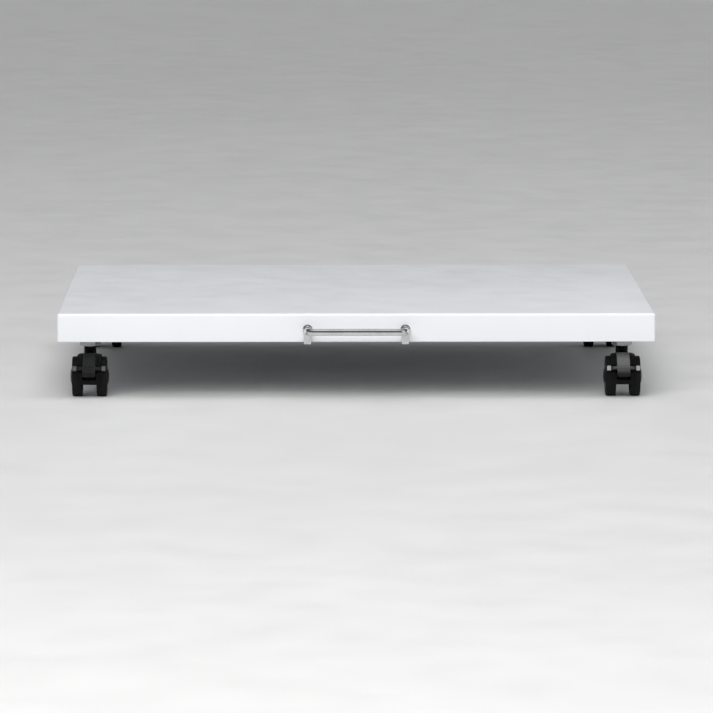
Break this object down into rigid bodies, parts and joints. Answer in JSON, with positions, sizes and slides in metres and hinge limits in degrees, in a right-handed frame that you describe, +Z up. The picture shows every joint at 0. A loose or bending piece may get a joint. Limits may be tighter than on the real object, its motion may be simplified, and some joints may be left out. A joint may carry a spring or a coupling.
{
  "type": "mobile printer stand",
  "caption": "Low white sheet-steel platform for a desktop printer, on hooded twin-wheel swivel casters with toe brakes at the front, with a chromed wire pull on its front edge.",
  "frame": {"origin": "centre of the deck's top face", "axes": "+X to the right across the width, -Y towards the front edge with the handle, +Z up"},
  "size_m": [0.57, 0.5093, 0.082],
  "materials": {
    "powder_coat": "fine satin white powder coat",
    "chrome": "polished chrome plate",
    "zinc_steel": "bright zinc plate",
    "spring_steel": "oiled spring steel",
    "caster_nylon": "fine-grained moulded nylon",
    "wheel_nylon": "hard moulded nylon, rubbed on the tread",
    "cap_plastic": "satin moulded plastic",
    "lever_plastic": "satin moulded nylon"
  },
  "bodies": {
    "deck": {"deck_tray": "powder_coat", "left_rail": "powder_coat", "right_rail": "powder_coat", "centre_stiffener": "powder_coat", "weld_nuts": "zinc_steel", "stem_washers": "zinc_steel", "handle_bar": "chrome", "left_handle_foot": "chrome", "right_handle_foot": "chrome", "handle_screws": "zinc_steel", "handle_nuts": "zinc_steel", "front_left_stem": "zinc_steel", "front_left_stem_clip": "spring_steel", "front_right_stem": "zinc_steel", "front_right_stem_clip": "spring_steel", "rear_left_stem": "zinc_steel", "rear_left_stem_clip": "spring_steel", "rear_right_stem": "zinc_steel", "rear_right_stem_clip": "spring_steel"},
    "front_left_caster": {"front_left_caster_frame": "caster_nylon", "front_left_axle": "zinc_steel", "front_left_lever_pin": "zinc_steel"},
    "front_left_left_wheel": {"front_left_left_wheel": "wheel_nylon", "front_left_left_hub_cap": "cap_plastic"},
    "front_left_right_wheel": {"front_left_right_wheel": "wheel_nylon", "front_left_right_hub_cap": "cap_plastic"},
    "front_left_brake_lever": {"front_left_brake_lever": "lever_plastic"},
    "front_right_caster": {"front_right_caster_frame": "caster_nylon", "front_right_axle": "zinc_steel", "front_right_lever_pin": "zinc_steel"},
    "front_right_left_wheel": {"front_right_left_wheel": "wheel_nylon", "front_right_left_hub_cap": "cap_plastic"},
    "front_right_right_wheel": {"front_right_right_wheel": "wheel_nylon", "front_right_right_hub_cap": "cap_plastic"},
    "front_right_brake_lever": {"front_right_brake_lever": "lever_plastic"},
    "rear_left_caster": {"rear_left_caster_frame": "caster_nylon", "rear_left_axle": "zinc_steel"},
    "rear_left_left_wheel": {"rear_left_left_wheel": "wheel_nylon", "rear_left_left_hub_cap": "cap_plastic"},
    "rear_left_right_wheel": {"rear_left_right_wheel": "wheel_nylon", "rear_left_right_hub_cap": "cap_plastic"},
    "rear_right_caster": {"rear_right_caster_frame": "caster_nylon", "rear_right_axle": "zinc_steel"},
    "rear_right_left_wheel": {"rear_right_left_wheel": "wheel_nylon", "rear_right_left_hub_cap": "cap_plastic"},
    "rear_right_right_wheel": {"rear_right_right_wheel": "wheel_nylon", "rear_right_right_hub_cap": "cap_plastic"}
  },
  "joints": [
    {"name": "front_left_swivel", "type": "hinge", "parent": "deck", "child": "front_left_caster", "pos_m": [-0.255, -0.194, -0.042], "axis": [0, 0, 1], "continuous": true},
    {"name": "front_left_left_roll", "type": "hinge", "parent": "front_left_caster", "child": "front_left_left_wheel", "pos_m": [-0.255, -0.21, -0.063], "axis": [1, 0, 0], "continuous": true},
    {"name": "front_left_right_roll", "type": "hinge", "parent": "front_left_caster", "child": "front_left_right_wheel", "pos_m": [-0.255, -0.21, -0.063], "axis": [1, 0, 0], "continuous": true},
    {"name": "front_left_brake", "type": "hinge", "parent": "front_left_caster", "child": "front_left_brake_lever", "pos_m": [-0.255, -0.21322, -0.04784], "axis": [1, 0, 0], "range_deg": [0, 8]},
    {"name": "front_right_swivel", "type": "hinge", "parent": "deck", "child": "front_right_caster", "pos_m": [0.255, -0.194, -0.042], "axis": [0, 0, 1], "continuous": true},
    {"name": "front_right_left_roll", "type": "hinge", "parent": "front_right_caster", "child": "front_right_left_wheel", "pos_m": [0.255, -0.21, -0.063], "axis": [1, 0, 0], "continuous": true},
    {"name": "front_right_right_roll", "type": "hinge", "parent": "front_right_caster", "child": "front_right_right_wheel", "pos_m": [0.255, -0.21, -0.063], "axis": [1, 0, 0], "continuous": true},
    {"name": "front_right_brake", "type": "hinge", "parent": "front_right_caster", "child": "front_right_brake_lever", "pos_m": [0.255, -0.21322, -0.04784], "axis": [1, 0, 0], "range_deg": [0, 8]},
    {"name": "rear_left_swivel", "type": "hinge", "parent": "deck", "child": "rear_left_caster", "pos_m": [-0.255, 0.194, -0.042], "axis": [0, 0, 1], "continuous": true},
    {"name": "rear_left_left_roll", "type": "hinge", "parent": "rear_left_caster", "child": "rear_left_left_wheel", "pos_m": [-0.255, 0.21, -0.063], "axis": [1, 0, 0], "continuous": true},
    {"name": "rear_left_right_roll", "type": "hinge", "parent": "rear_left_caster", "child": "rear_left_right_wheel", "pos_m": [-0.255, 0.21, -0.063], "axis": [1, 0, 0], "continuous": true},
    {"name": "rear_right_swivel", "type": "hinge", "parent": "deck", "child": "rear_right_caster", "pos_m": [0.255, 0.194, -0.042], "axis": [0, 0, 1], "continuous": true},
    {"name": "rear_right_left_roll", "type": "hinge", "parent": "rear_right_caster", "child": "rear_right_left_wheel", "pos_m": [0.255, 0.21, -0.063], "axis": [1, 0, 0], "continuous": true},
    {"name": "rear_right_right_roll", "type": "hinge", "parent": "rear_right_caster", "child": "rear_right_right_wheel", "pos_m": [0.255, 0.21, -0.063], "axis": [1, 0, 0], "continuous": true}
  ]
}
